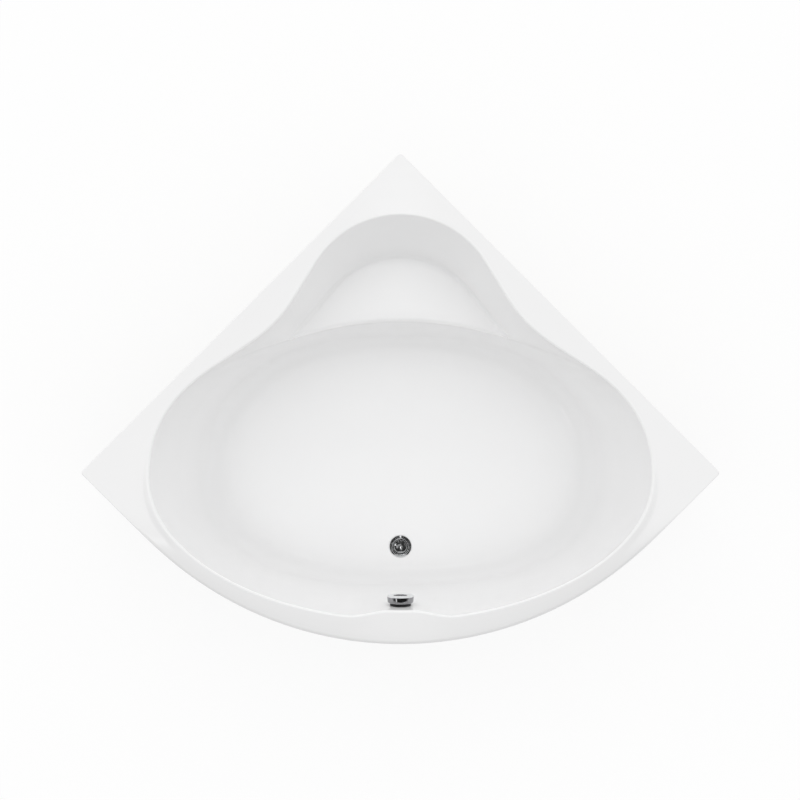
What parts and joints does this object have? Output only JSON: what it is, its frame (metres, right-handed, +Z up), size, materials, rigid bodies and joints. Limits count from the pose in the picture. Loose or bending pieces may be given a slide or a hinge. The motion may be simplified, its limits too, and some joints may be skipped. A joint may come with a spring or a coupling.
{
  "type": "corner bathtub",
  "caption": "White corner bathtub with an oval basin, a seat in the room corner, a bowed front, a pop-up waste with overflow knob, and adjustable legs.",
  "frame": {"origin": "middle of the plan's bounding box, on the floor of the room", "axes": "+Z up, +Y into the room corner, +X to the right as seen from the bowed front"},
  "size_m": [1.9798, 1.521, 0.616],
  "materials": {
    "white_acrylic": "gloss",
    "board": "raw",
    "frame_paint": "satin",
    "zinc_steel": "satin",
    "chrome": "polished",
    "brass": "satin",
    "black_rubber": "matte",
    "black_plastic": "matte",
    "white_plastic": "matte",
    "hose_plastic": "matte"
  },
  "bodies": {
    "bath": {"tub_shell": "white_acrylic", "base_board": "board", "side_rail": "frame_paint", "back_rail": "frame_paint", "front_rail_left": "frame_paint", "front_rail_right": "frame_paint", "post_left": "frame_paint", "post_right": "frame_paint", "post_back": "frame_paint", "post_front_left": "frame_paint", "post_front_right": "frame_paint", "rim_pads": "black_rubber", "rail_end_caps": "black_plastic", "leg_sockets": "zinc_steel", "board_screws": "zinc_steel", "wall_bracket_1": "zinc_steel", "wall_bracket_2": "zinc_steel", "wall_bracket_3": "zinc_steel", "wall_bracket_4": "zinc_steel", "waste_flange": "chrome", "flange_gasket": "black_rubber", "floor_gasket": "black_rubber", "waste_body": "white_plastic", "trap_inlet_nut": "white_plastic", "trap_bend": "white_plastic", "cleanout_cap": "white_plastic", "trap_outlet_nut": "white_plastic", "outlet_pipe": "white_plastic", "overflow_rosette": "chrome", "overflow_gasket": "black_rubber", "overflow_body": "white_plastic", "overflow_hose": "hose_plastic", "hose_nuts": "white_plastic", "control_cable": "black_plastic", "apron_clips": "black_plastic"},
    "knob": {"overflow_knob": "chrome", "knob_spindle": "brass"},
    "plug": {"plug_cap": "chrome", "plug_seal": "black_rubber", "plug_stem": "brass"},
    "lever": {"lift_lever": "brass"},
    "apron": {"front_apron": "white_acrylic", "apron_tongues": "white_plastic"},
    "leg_left": {"leg_screw_left": "zinc_steel", "lock_nut_left": "zinc_steel", "foot_pad_left": "black_plastic"},
    "leg_right": {"leg_screw_right": "zinc_steel", "lock_nut_right": "zinc_steel", "foot_pad_right": "black_plastic"},
    "leg_back": {"leg_screw_back": "zinc_steel", "lock_nut_back": "zinc_steel", "foot_pad_back": "black_plastic"},
    "leg_front_left": {"leg_screw_front_left": "zinc_steel", "lock_nut_front_left": "zinc_steel", "foot_pad_front_left": "black_plastic"},
    "leg_front_right": {"leg_screw_front_right": "zinc_steel", "lock_nut_front_right": "zinc_steel", "foot_pad_front_right": "black_plastic"}
  },
  "joints": [
    {"name": "knob_turn", "type": "hinge", "parent": "bath", "child": "knob", "pos_m": [0, -0.64385, 0.53], "axis": [0, 0.9919, 0.1267], "range_deg": [0, 90]},
    {"name": "plug_lift", "type": "slide", "parent": "bath", "child": "plug", "axis": [0, 0, 1], "range_m": [0, 0.01]},
    {"name": "lever_turn", "type": "hinge", "parent": "bath", "child": "lever", "pos_m": [0, -0.49948, 0.125], "axis": [1, 0, 0], "range_deg": [0, 28.49]},
    {"name": "apron_pull", "type": "slide", "parent": "bath", "child": "apron", "axis": [0, -1, 0], "range_m": [0, 0.3]},
    {"name": "leg_left_adjust", "type": "slide", "parent": "bath", "child": "leg_left", "axis": [0, 0, 1], "range_m": [-0.02, 0.01]},
    {"name": "leg_right_adjust", "type": "slide", "parent": "bath", "child": "leg_right", "axis": [0, 0, 1], "range_m": [-0.02, 0.01]},
    {"name": "leg_back_adjust", "type": "slide", "parent": "bath", "child": "leg_back", "axis": [0, 0, 1], "range_m": [-0.02, 0.01]},
    {"name": "leg_front_left_adjust", "type": "slide", "parent": "bath", "child": "leg_front_left", "axis": [0, 0, 1], "range_m": [-0.02, 0.01]},
    {"name": "leg_front_right_adjust", "type": "slide", "parent": "bath", "child": "leg_front_right", "axis": [0, 0, 1], "range_m": [-0.02, 0.01]}
  ],
  "couplings": [
    {"joint": "plug_lift", "follows": "knob_turn", "m_per_rad": 0.006366},
    {"joint": "lever_turn", "follows": "knob_turn", "ratio": 0.316}
  ]
}
